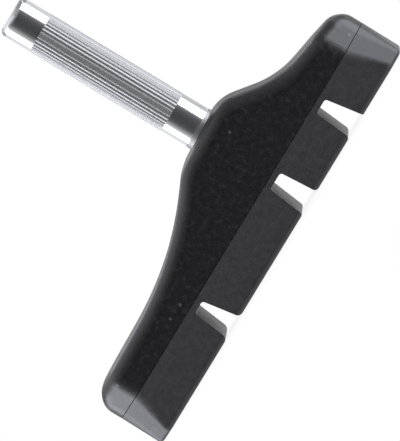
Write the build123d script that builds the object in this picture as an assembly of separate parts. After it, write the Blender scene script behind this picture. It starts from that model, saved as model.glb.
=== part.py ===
from build123d import *

import os
from collections import Counter
from math import cos, pi, radians, sin, tan

# A moulded rubber brake block for a bicycle rim, carried on a straight-knurled steel post.
# Millimetres and degrees. Z = 0 is the friction face, +Z runs up the post, +X points to the
# short arm and Y runs across the block. The origin is the middle of the friction face. The front of
# a slot is its wall nearer the short end, and the rear is its wall nearer the long end.

# Rubber block in plan
BLOCK_LENGTH = 72.0
BLOCK_WIDTH = 12.5  # at the parting line, where the block is widest
END_BEVEL = 5.3  # how far back from the end the corners are bevelled, at the parting line
END_ROUND = 4.0  # rounded edges of the bevel, at the parting line and on the back
FACE_BEVEL = 2.8  # the same two at the friction face
FACE_ROUND = 1.5
BEVEL_ANGLE = 36.0  # from the side walls

# Rubber block from the side
PARTING_HEIGHT = 7.3  # friction face to parting line
FACE_DRAFT = 2.5  # the walls lean in towards the friction face
FACE_RIM = 1.0  # upright band that the friction face's rim is rounded from
FACE_EDGE = 0.7  # rounded rim of the friction face
PARTING_EDGE = 0.12  # bevelled foot of the back, which leaves a fine groove at the parting line
BACK_EDGE = 2.6  # rounded rim of the back

# The bell-shaped back: distances are from the post's axis, rises are from the parting line
POST_OFFSET = 8.95  # post axis from the middle of the block, towards the short arm
BOSS_RISE = 12.65
BOSS_SLOPE = 3.5  # the boss climbs a little towards the short arm
LONG_SHOULDER = 6.35
LONG_SHOULDER_ROUND = 7.7
LONG_FOOT = 19.65
LONG_FOOT_RISE = 6.0
LONG_FOOT_ROUND = 56.0
LONG_NOSE = 2.3  # length of the slope that the back ends in
LONG_NOSE_RISE = 5.3
LONG_NOSE_ROUND = 4.4
SHORT_SHOULDER = 5.25
SHORT_SHOULDER_ROUND = 7.0
SHORT_FOOT = 13.15
SHORT_FOOT_RISE = 6.8
SHORT_FOOT_ROUND = 15.4
SHORT_NOSE = 1.9
SHORT_NOSE_RISE = 4.85
SHORT_NOSE_ROUND = 3.3
NOSE_SLOPE = 45.0

# Wedge slots across the friction face, each with its root centred at a distance from the post
SLOT_ROOF = 1.0  # rubber between a slot's root and the parting line
SLOT_ROOT_ROUND = 0.5
LONG_SLOT = 23.15
LONG_SLOT_WIDTH = 2.2
LONG_SLOT_REAR_LEAN = 6.5
LONG_SLOT_REAR_ROUND = 1.1  # the mouth's edge
LONG_SLOT_FRONT_LEAN = 8.5
LONG_SLOT_FRONT_ROUND = 0.9
MIDDLE_SLOT = 0.25  # a little towards the long end
MIDDLE_SLOT_WIDTH = 3.0
MIDDLE_SLOT_REAR_LEAN = 6.5
MIDDLE_SLOT_REAR_ROUND = 0.6
MIDDLE_SLOT_FRONT_LEAN = 3.5
MIDDLE_SLOT_FRONT_ROUND = 0.7
SHORT_SLOT = 13.25
SHORT_SLOT_WIDTH = 2.55
SHORT_SLOT_REAR_LEAN = 5.0
SHORT_SLOT_REAR_ROUND = 0.8
SHORT_SLOT_FRONT_LEAN = 8.5
SHORT_SLOT_FRONT_ROUND = 0.3

# Steel strip moulded into the block
PLATE_RISE = 0.9  # its underside above the parting line
PLATE_THICKNESS = 1.5
PLATE_END_COVER = 6.0  # rubber beyond each end of the strip
PLATE_SIDE_COVER = 2.25  # rubber beside the strip
PLATE_CORNER = 2.0

# Turned post, from the boss up and then from the boss down
POST_DIAMETER = 6.7
ROOT_HEIGHT = 1.0  # a slight cone where the post leaves the boss
ROOT_STEP = 0.2  # how far the cone stands out at its foot
NECK_LENGTH = 5.3  # boss to knurl
KNURL_LENGTH = 23.75
TIP_LENGTH = 5.4
TIP_EDGE = 1.1
KNURL_TEETH = 34
KNURL_DEPTH = 0.09
KNURL_LAND = 0.1  # width of each tooth's crest
SHANK_COVER = 0.6  # rubber over the shoulder that the shank is turned down from
SHANK_STEP = 0.5  # undercut that the rubber grips
RIVET_STEP = 0.7  # shoulder that seats on the strip
RIVET_LIP = 0.8  # the peened head reaches this far under the strip
RIVET_HEAD = 0.9

# Levels and places worked out from the sizes above
SLOT_DEPTH = PARTING_HEIGHT - SLOT_ROOF
BOSS_TOP = PARTING_HEIGHT + BOSS_RISE
PLATE_BOTTOM = PARTING_HEIGHT + PLATE_RISE
PLATE_TOP = PLATE_BOTTOM + PLATE_THICKNESS
POST_RADIUS = POST_DIAMETER / 2
SHANK_RADIUS = POST_RADIUS - SHANK_STEP
RIVET_RADIUS = SHANK_RADIUS - RIVET_STEP
KNURL_START = BOSS_TOP + NECK_LENGTH
POST_TIP = KNURL_START + KNURL_LENGTH + TIP_LENGTH
POST_AXIS = Pos(POST_OFFSET, 0, 0)
OVERRUN = 1.0  # how far a cutting shape runs past what it cuts


def bevelled_outline(length, width, bevel, edge_round):
    """A rectangle with its corners cut off and the edges of the cuts rounded."""
    x = length / 2
    y = width / 2
    cut = bevel * tan(radians(BEVEL_ANGLE))
    outline = Polygon(
        (x, y - cut),
        (x - bevel, y),
        (bevel - x, y),
        (-x, y - cut),
        (-x, cut - y),
        (bevel - x, -y),
        (x - bevel, -y),
        (x, cut - y),
        align=None,
    )
    return fillet(outline.vertices(), edge_round)


def parting_outline():
    """The block's outline at the parting line."""
    outline = bevelled_outline(BLOCK_LENGTH, BLOCK_WIDTH, END_BEVEL, END_ROUND)
    return Pos(0, 0, PARTING_HEIGHT) * outline


def friction_half():
    """Everything below the parting line, before the slots: the bevels shrink towards the face."""
    inset = (PARTING_HEIGHT - FACE_RIM) * tan(radians(FACE_DRAFT))
    face = bevelled_outline(
        BLOCK_LENGTH - 2 * inset, BLOCK_WIDTH - 2 * inset, FACE_BEVEL, FACE_ROUND
    )
    rim = extrude(face, amount=FACE_RIM)
    rim = fillet(rim.faces().sort_by(Axis.Z)[0].edges(), FACE_EDGE)
    return rim + loft([Pos(0, 0, FACE_RIM) * face, parting_outline()], ruled=True)


def back_profile():
    """The side view of everything above the parting line, a little longer than the block."""
    end = BLOCK_LENGTH / 2
    reach = end + OVERRUN
    climb = tan(radians(BOSS_SLOPE))
    drop = tan(radians(NOSE_SLOPE))
    long_tip = (-reach, LONG_NOSE_RISE - (LONG_NOSE + OVERRUN) * drop)
    short_tip = (reach, SHORT_NOSE_RISE - (SHORT_NOSE + OVERRUN) * drop)
    back = FilletPolyline(
        long_tip,
        (LONG_NOSE - end, LONG_NOSE_RISE),
        (POST_OFFSET - LONG_FOOT, LONG_FOOT_RISE),
        (POST_OFFSET - LONG_SHOULDER, BOSS_RISE - LONG_SHOULDER * climb),
        (POST_OFFSET + SHORT_SHOULDER, BOSS_RISE + SHORT_SHOULDER * climb),
        (POST_OFFSET + SHORT_FOOT, SHORT_FOOT_RISE),
        (end - SHORT_NOSE, SHORT_NOSE_RISE),
        short_tip,
        radius=[
            LONG_NOSE_ROUND,
            LONG_FOOT_ROUND,
            LONG_SHOULDER_ROUND,
            SHORT_SHOULDER_ROUND,
            SHORT_FOOT_ROUND,
            SHORT_NOSE_ROUND,
        ],
    )
    under = Polyline(short_tip, (reach, -OVERRUN), (-reach, -OVERRUN), long_tip)
    return Pos(0, 0, PARTING_HEIGHT) * (Plane.XZ * make_face([*back.edges(), *under.edges()]))


def back_half():
    """Everything above the parting line: upright walls under the bell-shaped back."""
    tallest = BOSS_RISE + SHORT_SHOULDER * tan(radians(BOSS_SLOPE)) + OVERRUN
    walls = extrude(parting_outline(), amount=tallest)
    half = walls & extrude(back_profile(), amount=BLOCK_WIDTH, both=True)
    # The rim is made of the edges that only one of the upward faces has.
    upward = half.faces().filter_by(lambda face: face.normal_at().Z > 0.5)
    uses = Counter(edge for face in upward for edge in face.edges())
    half = fillet([edge for edge, count in uses.items() if count == 1], BACK_EDGE)
    return chamfer(half.faces().sort_by(Axis.Z)[0].edges(), PARTING_EDGE)


def slot(centre, width, rear_lean, rear_round, front_lean, front_round):
    """A cutter for one slot: a wedge with a rounded root, opening into rounded mouth edges."""
    rear = centre - width / 2
    front = centre + width / 2
    rear_mouth = rear - SLOT_DEPTH * tan(radians(rear_lean))
    front_mouth = front + SLOT_DEPTH * tan(radians(front_lean))
    wedge = Polygon(
        (rear, SLOT_DEPTH),
        (front, SLOT_DEPTH),
        (front_mouth, 0),
        (front_mouth + front_round + OVERRUN, 0),
        (front_mouth + front_round + OVERRUN, -OVERRUN),
        (rear_mouth - rear_round - OVERRUN, -OVERRUN),
        (rear_mouth - rear_round - OVERRUN, 0),
        (rear_mouth, 0),
        align=None,
    )
    wedge = fillet(wedge.vertices().sort_by_distance((front_mouth, 0))[0], front_round)
    wedge = fillet(wedge.vertices().sort_by_distance((rear_mouth, 0))[0], rear_round)
    wedge = fillet(wedge.vertices().group_by(Axis.Y)[-1], SLOT_ROOT_ROUND)
    return extrude(Plane.XZ * wedge, amount=BLOCK_WIDTH, both=True)


def backing_plate():
    """The moulded-in steel strip, with the hole that the post's foot is riveted through."""
    strip = RectangleRounded(
        BLOCK_LENGTH - 2 * PLATE_END_COVER, BLOCK_WIDTH - 2 * PLATE_SIDE_COVER, PLATE_CORNER
    )
    strip -= POST_AXIS * Circle(RIVET_RADIUS)
    return Pos(0, 0, PLATE_BOTTOM) * extrude(strip, amount=PLATE_THICKNESS)


def knurl_grooves():
    """What a straight knurl takes off the post: a ring around a many-toothed star."""
    half_land = KNURL_LAND / POST_DIAMETER
    star = []
    for tooth in range(KNURL_TEETH):
        crest = 2 * pi * tooth / KNURL_TEETH
        valley = crest + pi / KNURL_TEETH
        for angle, radius in (
            (crest - half_land, POST_RADIUS),
            (crest + half_land, POST_RADIUS),
            (valley, POST_RADIUS - KNURL_DEPTH),
        ):
            star.append((radius * cos(angle), radius * sin(angle)))
    ring = Circle(POST_RADIUS + OVERRUN) - Polygon(*star, align=None)
    return Pos(0, 0, KNURL_START) * extrude(ring, amount=KNURL_LENGTH)


def post():
    """The turned post with its riveted foot below, on the post's axis."""
    head_radius = RIVET_RADIUS + RIVET_LIP
    head_bottom = PLATE_BOTTOM - RIVET_HEAD
    shoulder = BOSS_TOP - SHANK_COVER
    half = Polygon(
        (0, head_bottom),
        (head_radius, head_bottom),
        (head_radius, PLATE_BOTTOM),
        (RIVET_RADIUS, PLATE_BOTTOM),
        (RIVET_RADIUS, PLATE_TOP),
        (SHANK_RADIUS, PLATE_TOP),
        (SHANK_RADIUS, shoulder),
        (POST_RADIUS + ROOT_STEP, shoulder),
        (POST_RADIUS, BOSS_TOP + ROOT_HEIGHT),
        (POST_RADIUS, POST_TIP),
        (0, POST_TIP),
        align=None,
    )
    half = fillet(half.vertices().group_by(Axis.Y)[-1].sort_by(Axis.X)[-1], TIP_EDGE)
    return POST_AXIS * (revolve(Plane.XZ * half, Axis.Z) - knurl_grooves())


def rubber_block(inserts):
    """The moulding, with its slots cut and its inside left exactly where the steel pieces sit."""
    block = friction_half() + back_half()
    block -= slot(
        POST_OFFSET - LONG_SLOT,
        LONG_SLOT_WIDTH,
        LONG_SLOT_REAR_LEAN,
        LONG_SLOT_REAR_ROUND,
        LONG_SLOT_FRONT_LEAN,
        LONG_SLOT_FRONT_ROUND,
    )
    block -= slot(
        POST_OFFSET - MIDDLE_SLOT,
        MIDDLE_SLOT_WIDTH,
        MIDDLE_SLOT_REAR_LEAN,
        MIDDLE_SLOT_REAR_ROUND,
        MIDDLE_SLOT_FRONT_LEAN,
        MIDDLE_SLOT_FRONT_ROUND,
    )
    block -= slot(
        POST_OFFSET + SHORT_SLOT,
        SHORT_SLOT_WIDTH,
        SHORT_SLOT_REAR_LEAN,
        SHORT_SLOT_REAR_ROUND,
        SHORT_SLOT_FRONT_LEAN,
        SHORT_SLOT_FRONT_ROUND,
    )
    for insert in inserts:
        block -= insert
    return block


steel_post = post()
steel_plate = backing_plate()
pieces = {
    "rubber_block": rubber_block([steel_plate, steel_post]),
    "post": steel_post,
    "backing_plate": steel_plate,
}

os.makedirs("parts", exist_ok=True)
for name, piece in pieces.items():
    export_step(piece, f"parts/{name}.step")
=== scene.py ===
from math import cos, pi, radians, sin

import bpy
from mathutils import Matrix, Vector


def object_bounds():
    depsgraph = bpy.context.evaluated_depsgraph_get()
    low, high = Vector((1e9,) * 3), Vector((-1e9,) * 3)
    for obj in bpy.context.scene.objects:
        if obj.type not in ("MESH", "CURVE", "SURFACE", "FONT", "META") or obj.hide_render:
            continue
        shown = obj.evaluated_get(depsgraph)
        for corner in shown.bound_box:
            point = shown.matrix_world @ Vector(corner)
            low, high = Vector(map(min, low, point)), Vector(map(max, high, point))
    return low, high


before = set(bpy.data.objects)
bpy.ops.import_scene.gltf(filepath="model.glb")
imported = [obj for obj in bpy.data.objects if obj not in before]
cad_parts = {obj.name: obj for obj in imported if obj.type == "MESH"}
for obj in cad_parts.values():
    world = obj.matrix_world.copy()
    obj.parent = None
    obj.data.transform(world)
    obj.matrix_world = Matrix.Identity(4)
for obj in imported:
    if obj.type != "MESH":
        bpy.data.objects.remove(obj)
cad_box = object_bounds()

# A bicycle rim brake pad on its plated post, lit as a plain studio picture.
# Metres, in the CAD's own frame: Z = 0 is the friction face and +Z runs up the post.
# Angles are degrees. Azimuth 0 is the block's front, and 90 is the end of its short arm.

MM = 0.001

# Levels of the CAD model that the finishes change at
PARTING_LEVEL = 7.3 * MM
ROOT_END = 20.7 * MM
KNURL_START = 25.25 * MM
KNURL_END = 49.0 * MM
POST_END = cad_box[1].z

# The photograph's camera
IMAGE_WIDTH = 400
IMAGE_HEIGHT = 441
CAMERA_AZIMUTH = 6.7
CAMERA_ELEVATION = 2.0
CAMERA_ROLL = 58.95
CAMERA_DISTANCE = 1.0
PIXELS_PER_METRE = 6462  # scale of the picture at the measured point
MEASURED_POINT = Vector((0, 0, 20 * MM))
MEASURED_PIXEL_X = 171.2
MEASURED_PIXEL_Y = 178.8
SENSOR_WIDTH = 36  # in millimetres, as Blender states it
VIEW_DEPTH = 20

# Studio
WORLD_FILL = 0.65  # strength of the light from all round, apart from what reflections show
FLOOR_REACH = 4.0
FLOOR_GLOW = 0.88  # share of the floor's white that takes no shadow, near the object
SHADOW_FROM = 0.06  # distance from the origin at which the shadow starts to fade
SHADOW_TO = 0.3  # distance at which the floor is plain white
SOFTBOX_DISTANCE = 0.6
DAYLIGHT = "#f4f5ff"
CARD_DISTANCE = 0.4
FLAG_DISTANCE = 0.3
CARD_STEPS = 24  # flat strips in a bent card

# Rubber
FRICTION_ROUGHNESS = 0.34
BACK_ROUGHNESS = 0.26
RUBBER_IOR = 1.52
PARTING_BLUR = 0.1 * MM
MOTTLE_SIZE = 0.9 * MM
MOTTLE_DULLING = 0.2  # roughness that the mottle adds at most
GRAIN_SIZE = 0.22 * MM  # as coarse as it needs to show
GRAIN_DEPTH = 0.05 * MM
GRAIN_STRENGTH = 0.25
SPECK_SPACING = 4 * MM
SPECK_RADIUS = 0.11  # in spacings, and so are the next two
SPECK_FADE = 0.03
SPECK_RAGGEDNESS = 0.12

# Post
POLISHED_ROUGHNESS = 0.06
UNPOLISHED_ROUGHNESS = 0.5
RING_SIZE = 0.25 * MM  # as coarse as it needs to show
RING_SHRINK = (0.02, 0.02, 1)  # the pattern changes up the post and hardly round it
RING_DULLING = 0.05  # roughness that the rings add at most
RING_DEPTH = 0.02 * MM
RING_STRENGTH = 0.04
CUT_END_START = 0.6 * MM  # depth below the end at which the cut end's finish starts
CUT_END_FULL = 0.2 * MM  # depth below the end from which it is full
CUT_END_DULLNESS = 0.65  # from 0 for polished to 1 for unpolished

# Strip
STRIP_ROUGHNESS = 0.4
STREAK_SIZE = 0.3 * MM
STREAK_SHRINK = (0.05, 1, 1)  # the pattern changes across the strip and hardly along it


def linear(hex_colour):
    """An sRGB hex colour as Blender's linear RGBA."""
    channels = [int(hex_colour[i:i + 2], 16) / 255 for i in (1, 3, 5)]
    return [c / 12.92 if c <= 0.04045 else ((c + 0.055) / 1.055) ** 2.4 for c in channels] + [1]


def add(tree, kind, inputs=(), stops=(), **settings):
    """Adds a node with its settings, inputs and, if it is a ramp, (position, hex colour) stops.

    An input goes by its name, or by its place among the node's inputs. It is a value, or a socket to
    link from.
    """
    node = tree.nodes.new(kind)
    for name, value in settings.items():
        setattr(node, name, value)
    for name, value in dict(inputs).items():
        if isinstance(value, bpy.types.NodeSocket):
            tree.links.new(value, node.inputs[name])
        else:
            node.inputs[name].default_value = value
    if stops:
        elements = node.color_ramp.elements
        while len(elements) < len(stops):
            elements.new(position=0.5)
        for element, (position, colour) in zip(elements, stops):
            element.position = position
            element.color = linear(colour)
    return node


def new_material(name):
    """An empty node material and its tree."""
    material = bpy.data.materials.new(name)
    material.use_nodes = True
    material.node_tree.nodes.clear()
    return material, material.node_tree


def direction(azimuth, elevation):
    """The unit vector towards a place round the object."""
    a = radians(azimuth)
    e = radians(elevation)
    return Vector((sin(a) * cos(e), -cos(a) * cos(e), sin(e)))


def link_to_scene(name, data):
    piece = bpy.data.objects.new(name, data)
    bpy.context.collection.objects.link(piece)
    return piece


# Camera
def place_camera():
    back = direction(CAMERA_AZIMUTH, CAMERA_ELEVATION)
    level = Vector((0, 0, 1)).cross(back).normalized()
    upright = back.cross(level)
    roll = radians(CAMERA_ROLL)
    across = cos(roll) * level - sin(roll) * upright
    upwards = sin(roll) * level + cos(roll) * upright
    right_pixels = IMAGE_WIDTH / 2 - MEASURED_PIXEL_X
    down_pixels = IMAGE_HEIGHT / 2 - MEASURED_PIXEL_Y
    aim = MEASURED_POINT + (right_pixels * across - down_pixels * upwards) / PIXELS_PER_METRE
    camera = link_to_scene("photo_camera", bpy.data.cameras.new("photo_camera"))
    turn = Matrix((across, upwards, back)).transposed().to_4x4()
    camera.matrix_world = Matrix.Translation(aim + CAMERA_DISTANCE * back) @ turn
    camera.data.sensor_width = SENSOR_WIDTH
    focal_pixels = PIXELS_PER_METRE * CAMERA_DISTANCE
    camera.data.lens = focal_pixels * SENSOR_WIDTH / max(IMAGE_WIDTH, IMAGE_HEIGHT)
    camera.data.clip_end = VIEW_DEPTH
    bpy.context.scene.camera = camera


# Studio
def seen_directly(tree):
    """1 for camera, glossy and transmission rays, 0 for the rest."""
    path = add(tree, "ShaderNodeLightPath")
    seen = path.outputs["Is Camera Ray"]
    for name in ("Is Glossy Ray", "Is Transmission Ray"):
        rays = {0: seen, 1: path.outputs[name]}
        seen = add(tree, "ShaderNodeMath", rays, operation="MAXIMUM").outputs[0]
    return seen


def light_world():
    world = bpy.data.worlds.new("studio_white")
    world.use_nodes = True
    tree = world.node_tree
    tree.nodes.clear()
    fill = add(tree, "ShaderNodeBackground", {"Color": linear("#ffffff"), "Strength": WORLD_FILL})
    white = add(tree, "ShaderNodeBackground", {"Color": linear("#ffffff"), "Strength": 1.0})
    both = {0: seen_directly(tree), 1: fill.outputs[0], 2: white.outputs[0]}
    mix = add(tree, "ShaderNodeMixShader", both)
    add(tree, "ShaderNodeOutputWorld", {"Surface": mix.outputs[0]})
    bpy.context.scene.world = world


def lay_floor():
    mesh = bpy.data.meshes.new("studio_floor")
    corners = [(-1, -1), (1, -1), (1, 1), (-1, 1)]
    mesh.from_pydata([(x * FLOOR_REACH, y * FLOOR_REACH, 0) for x, y in corners], [], [(0, 1, 2, 3)])
    floor = link_to_scene("studio_floor", mesh)
    # Matt paper that shows as plain white, apart from a faint shadow close to the object.
    material, tree = new_material("white_sweep_paper")
    paper = add(tree, "ShaderNodeBsdfDiffuse", {"Color": linear("#f4f4f4")})
    white = add(tree, "ShaderNodeEmission", {"Color": linear("#ffffff"), "Strength": 1.0})
    place = add(tree, "ShaderNodeTexCoord").outputs["Object"]
    distance = add(tree, "ShaderNodeVectorMath", {0: place}, operation="LENGTH").outputs["Value"]
    glow = add(
        tree,
        "ShaderNodeMapRange",
        {
            "Value": distance,
            "From Min": SHADOW_FROM,
            "From Max": SHADOW_TO,
            "To Min": FLOOR_GLOW,
            "To Max": 1.0,
        },
    ).outputs[0]
    shown = {0: seen_directly(tree), 1: glow}
    share = add(tree, "ShaderNodeMath", shown, operation="MULTIPLY").outputs[0]
    mix = add(tree, "ShaderNodeMixShader", {0: share, 1: paper.outputs[0], 2: white.outputs[0]})
    add(tree, "ShaderNodeOutputMaterial", {"Surface": mix.outputs[0]})
    mesh.materials.append(material)
    # Reflections look past the floor, to the same white and to the whole of each softbox.
    floor.visible_glossy = False
    floor.visible_shadow = False


def hang_softbox(name, azimuth, elevation, width, height, radiance):
    """A lamp that faces the origin. At a radiance of 1 it is as bright as the white round it."""
    data = bpy.data.lights.new(name, "AREA")
    data.shape = "RECTANGLE"
    data.size = width
    data.size_y = height
    data.energy = radiance * pi * width * height
    data.color = linear(DAYLIGHT)[:3]
    lamp = link_to_scene(name, data)
    towards = direction(azimuth, elevation)
    lamp.location = SOFTBOX_DISTANCE * towards
    lamp.rotation_euler = towards.to_track_quat("Z", "Y").to_euler()
    lamp.visible_camera = False


def as_shares(stops):
    """The stops along one side of a card, with their places as shares of the side."""
    first = stops[0][0]
    length = stops[-1][0] - first
    return [((place - first) / length, colour) for place, colour in stops]


def stand_card(name, distance, across, upwards):
    """A card bent round the object, which only shows in reflections.

    Its shades are (azimuth, colour) stops from end to end and (height, colour) stops from its bottom
    edge to its top, and each place on it takes the lighter of the two.
    """
    azimuths = [place for place, colour in across]
    heights = [place for place, colour in upwards]
    points = []
    for i in range(CARD_STEPS + 1):
        azimuth = azimuths[0] + (azimuths[-1] - azimuths[0]) * i / CARD_STEPS
        towards = distance * direction(azimuth, 0)
        points += [(towards.x, towards.y, heights[0]), (towards.x, towards.y, heights[-1])]
    faces = [(2 * i, 2 * i + 2, 2 * i + 3, 2 * i + 1) for i in range(CARD_STEPS)]
    mesh = bpy.data.meshes.new(name)
    mesh.from_pydata(points, [], faces)
    corners = mesh.uv_layers.new(name="card_places").data
    for loop in mesh.loops:
        corners[loop.index].uv = (loop.vertex_index // 2 / CARD_STEPS, loop.vertex_index % 2)
    card = link_to_scene(name, mesh)
    # Paper that glows in soft steps of grey, for the plating and the rubber to mirror.
    material, tree = new_material(name + "_paper")
    place = add(tree, "ShaderNodeSeparateXYZ", {0: add(tree, "ShaderNodeTexCoord").outputs["UV"]})
    shade_across = add(tree, "ShaderNodeValToRGB", {"Fac": place.outputs["X"]}, as_shares(across))
    shade_upwards = add(tree, "ShaderNodeValToRGB", {"Fac": place.outputs["Y"]}, as_shares(upwards))
    lighter = add(
        tree,
        "ShaderNodeMix",
        {0: 1, 6: shade_across.outputs["Color"], 7: shade_upwards.outputs["Color"]},
        data_type="RGBA",
        blend_type="LIGHTEN",
    )
    grey = add(tree, "ShaderNodeEmission", {"Color": lighter.outputs[2], "Strength": 1.0})
    add(tree, "ShaderNodeOutputMaterial", {"Surface": grey.outputs[0]})
    mesh.materials.append(material)
    card.visible_camera = False
    card.visible_diffuse = False
    card.visible_transmission = False
    card.visible_shadow = False


# Finishes
def moulded_black_rubber():
    # Carbon-black rubber pressed in a steel mould: near-black with a soft satin sheen and the fine
    # grain of the blasted mould. The back is darker and shinier, the friction half greyer and duller.
    material, tree = new_material("moulded_black_rubber")
    place = add(tree, "ShaderNodeTexCoord").outputs["Object"]
    height = add(tree, "ShaderNodeSeparateXYZ", {0: place}).outputs["Z"]
    back_half = add(
        tree,
        "ShaderNodeMapRange",
        {
            "Value": height,
            "From Min": PARTING_LEVEL - PARTING_BLUR,
            "From Max": PARTING_LEVEL + PARTING_BLUR,
        },
    ).outputs[0]
    mottle = add(
        tree,
        "ShaderNodeTexNoise",
        {"Vector": place, "Scale": 1 / MOTTLE_SIZE, "Detail": 5, "Roughness": 0.6},
    ).outputs["Fac"]
    grain = add(
        tree,
        "ShaderNodeTexNoise",
        {"Vector": place, "Scale": 1 / GRAIN_SIZE, "Detail": 3, "Roughness": 0.6},
    ).outputs["Fac"]
    friction_colour = add(
        tree,
        "ShaderNodeValToRGB",
        {"Fac": mottle},
        [(0.35, "#202022"), (0.65, "#29292c")],
    ).outputs["Color"]
    back_colour = add(
        tree,
        "ShaderNodeValToRGB",
        {"Fac": mottle},
        [(0.36, "#040406"), (0.55, "#0a0a0e"), (0.72, "#1e1e22")],
    ).outputs["Color"]
    rubber_colour = add(
        tree,
        "ShaderNodeMix",
        {0: back_half, 6: friction_colour, 7: back_colour},
        data_type="RGBA",
    ).outputs[2]
    # Specks of the powder that keeps the back from sticking in its mould, a few to the side.
    speck_distance = add(
        tree,
        "ShaderNodeTexVoronoi",
        {"Vector": place, "Scale": 1 / SPECK_SPACING},
    ).outputs["Distance"]
    speck_edge = add(
        tree,
        "ShaderNodeMath",
        {0: grain, 1: SPECK_RAGGEDNESS, 2: speck_distance},
        operation="MULTIPLY_ADD",
    ).outputs[0]
    speck = add(
        tree,
        "ShaderNodeMapRange",
        {
            "Value": speck_edge,
            "From Min": SPECK_RADIUS,
            "From Max": SPECK_RADIUS + SPECK_FADE,
            "To Min": back_half,
            "To Max": 0,
        },
    ).outputs[0]
    colour = add(
        tree,
        "ShaderNodeMix",
        {0: speck, 6: rubber_colour, 7: linear("#404042")},
        data_type="RGBA",
    ).outputs[2]
    base_roughness = add(
        tree,
        "ShaderNodeMapRange",
        {"Value": back_half, "To Min": FRICTION_ROUGHNESS, "To Max": BACK_ROUGHNESS},
    ).outputs[0]
    roughness = add(
        tree,
        "ShaderNodeMath",
        {0: mottle, 1: MOTTLE_DULLING, 2: base_roughness},
        operation="MULTIPLY_ADD",
    ).outputs[0]
    relief = add(
        tree,
        "ShaderNodeBump",
        {"Height": grain, "Strength": GRAIN_STRENGTH, "Distance": GRAIN_DEPTH},
    ).outputs[0]
    shader = add(
        tree,
        "ShaderNodeBsdfPrincipled",
        {"Base Color": colour, "Roughness": roughness, "Normal": relief, "IOR": RUBBER_IOR},
    )
    add(tree, "ShaderNodeOutputMaterial", {"Surface": shader.outputs[0]})
    return material


def nickel_plated_steel():
    # Turned steel with a bright nickel plating: mirror-like, with faint rings left by the lathe. The
    # knurl and the slight cone at the root are never polished, so they spread the light and look pale,
    # and the cut end is half polished, which draws a grey line round the tip.
    material, tree = new_material("nickel_plated_steel")
    place = add(tree, "ShaderNodeTexCoord").outputs["Object"]
    ring_place = add(
        tree,
        "ShaderNodeVectorMath",
        {0: place, 1: RING_SHRINK},
        operation="MULTIPLY",
    ).outputs[0]
    rings = add(
        tree,
        "ShaderNodeTexNoise",
        {"Vector": ring_place, "Scale": 1 / RING_SIZE, "Detail": 3},
    ).outputs["Fac"]
    height = add(tree, "ShaderNodeSeparateXYZ", {0: place}).outputs["Z"]
    above_neck = add(tree, "ShaderNodeMath", {0: height, 1: KNURL_START}, operation="GREATER_THAN")
    below_tip = add(tree, "ShaderNodeMath", {0: height, 1: KNURL_END}, operation="LESS_THAN")
    knurled = add(
        tree,
        "ShaderNodeMath",
        {0: above_neck.outputs[0], 1: below_tip.outputs[0]},
        operation="MULTIPLY",
    ).outputs[0]
    root = add(tree, "ShaderNodeMath", {0: height, 1: ROOT_END}, operation="LESS_THAN").outputs[0]
    cut_end = add(
        tree,
        "ShaderNodeMapRange",
        {
            "Value": height,
            "From Min": POST_END - CUT_END_START,
            "From Max": POST_END - CUT_END_FULL,
            "To Max": CUT_END_DULLNESS,
        },
    ).outputs[0]
    below_end = add(tree, "ShaderNodeMath", {0: knurled, 1: root}, operation="MAXIMUM").outputs[0]
    unpolished = add(
        tree,
        "ShaderNodeMath",
        {0: below_end, 1: cut_end},
        operation="MAXIMUM",
    ).outputs[0]
    base_roughness = add(
        tree,
        "ShaderNodeMapRange",
        {"Value": unpolished, "To Min": POLISHED_ROUGHNESS, "To Max": UNPOLISHED_ROUGHNESS},
    ).outputs[0]
    roughness = add(
        tree,
        "ShaderNodeMath",
        {0: rings, 1: RING_DULLING, 2: base_roughness},
        operation="MULTIPLY_ADD",
    ).outputs[0]
    relief = add(
        tree,
        "ShaderNodeBump",
        {"Height": rings, "Strength": RING_STRENGTH, "Distance": RING_DEPTH},
    ).outputs[0]
    colour = add(
        tree,
        "ShaderNodeValToRGB",
        {"Fac": unpolished},
        [(0, "#d9dadd"), (1, "#8c8c8c")],
    ).outputs["Color"]
    shader = add(
        tree,
        "ShaderNodeBsdfPrincipled",
        {"Base Color": colour, "Metallic": 1.0, "Roughness": roughness, "Normal": relief},
    )
    add(tree, "ShaderNodeOutputMaterial", {"Surface": shader.outputs[0]})
    return material


def rolled_bare_steel():
    # Cold-rolled strip, hidden in the rubber: dull grey with the roll's streaks along it.
    material, tree = new_material("rolled_bare_steel")
    place = add(tree, "ShaderNodeTexCoord").outputs["Object"]
    streak_place = add(
        tree,
        "ShaderNodeVectorMath",
        {0: place, 1: STREAK_SHRINK},
        operation="MULTIPLY",
    ).outputs[0]
    streaks = add(
        tree,
        "ShaderNodeTexNoise",
        {"Vector": streak_place, "Scale": 1 / STREAK_SIZE},
    ).outputs["Fac"]
    colour = add(
        tree,
        "ShaderNodeValToRGB",
        {"Fac": streaks},
        [(0.3, "#8c8c8e"), (0.7, "#a2a2a4")],
    ).outputs["Color"]
    shader = add(
        tree,
        "ShaderNodeBsdfPrincipled",
        {"Base Color": colour, "Metallic": 1.0, "Roughness": STRIP_ROUGHNESS},
    )
    add(tree, "ShaderNodeOutputMaterial", {"Surface": shader.outputs[0]})
    return material


def finish_node(name, material):
    """Gives a CAD node its finish."""
    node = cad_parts[name]
    for place in node.material_slots:
        place.material = material


bpy.context.scene.view_settings.view_transform = "Standard"
place_camera()
light_world()
lay_floor()

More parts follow.
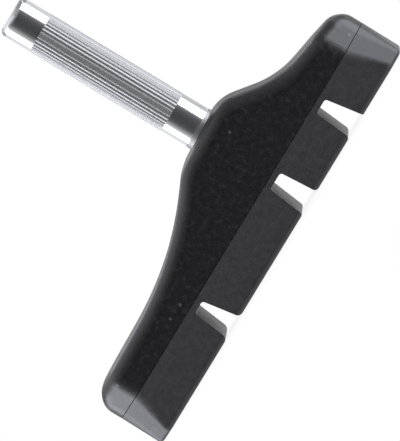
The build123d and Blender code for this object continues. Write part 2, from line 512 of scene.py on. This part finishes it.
# Softboxes at both ends of the block, a weak one over its long arm, and one behind and above
hang_softbox("right_softbox", azimuth=84, elevation=0, width=0.61, height=0.7, radiance=4.5)
hang_softbox("left_softbox", azimuth=-95, elevation=0, width=0.7, height=0.7, radiance=5.3)
hang_softbox("top_softbox", azimuth=-90, elevation=62, width=0.5, height=0.6, radiance=0.4)
hang_softbox("rear_softbox", azimuth=165, elevation=48, width=0.7, height=0.3, radiance=2.0)

# Dark in the middle, for the dark stripe down the post, and paler towards its ends and upwards
stand_card(
    "front_card",
    CARD_DISTANCE,
    [
        (-71, "#f3f3f3"),
        (-53, "#b6b6b6"),
        (-41, "#818181"),
        (-29, "#5d5d5d"),
        (-8, "#505050"),
        (14, "#525252"),
        (35, "#606060"),
        (50, "#787878"),
        (62, "#b6b6b6"),
    ],
    [(-0.1, "#505050"), (0.09, "#505050"), (0.2, "#969696"), (0.34, "#bfbfbf"), (0.7, "#e7e7e7")],
)
# White at the post's height, for the pale edge of the post, and grey just below and above
stand_card(
    "rear_left_card",
    CARD_DISTANCE,
    [(180, "#000000"), (250, "#000000")],
    [
        (-0.15, "#ffffff"),
        (-0.06, "#909090"),
        (-0.004, "#909090"),
        (0.006, "#ffffff"),
        (0.05, "#ffffff"),
        (0.1, "#b0b0b0"),
        (0.23, "#b0b0b0"),
    ],
)
# White low down, for the walls of the slots, pale at the post's height and grey above
stand_card(
    "rear_right_card",
    CARD_DISTANCE,
    [(112, "#000000"), (180, "#000000")],
    [
        (-0.15, "#ffffff"),
        (-0.03, "#ffffff"),
        (0.009, "#dadada"),
        (0.036, "#f2f2f2"),
        (0.06, "#f2f2f2"),
        (0.1, "#b0b0b0"),
        (0.23, "#b0b0b0"),
    ],
)
# Grey above the short arm, for the rim there, and paler upwards
stand_card(
    "right_flag",
    FLAG_DISTANCE,
    [(15, "#000000"), (168, "#000000")],
    [(0.22, "#a0a0a0"), (0.43, "#b4b4b4"), (0.82, "#d2d2d2"), (1.12, "#e0e0e0")],
)

finish_node("rubber_block", moulded_black_rubber())
finish_node("post", nickel_plated_steel())
finish_node("backing_plate", rolled_bare_steel())
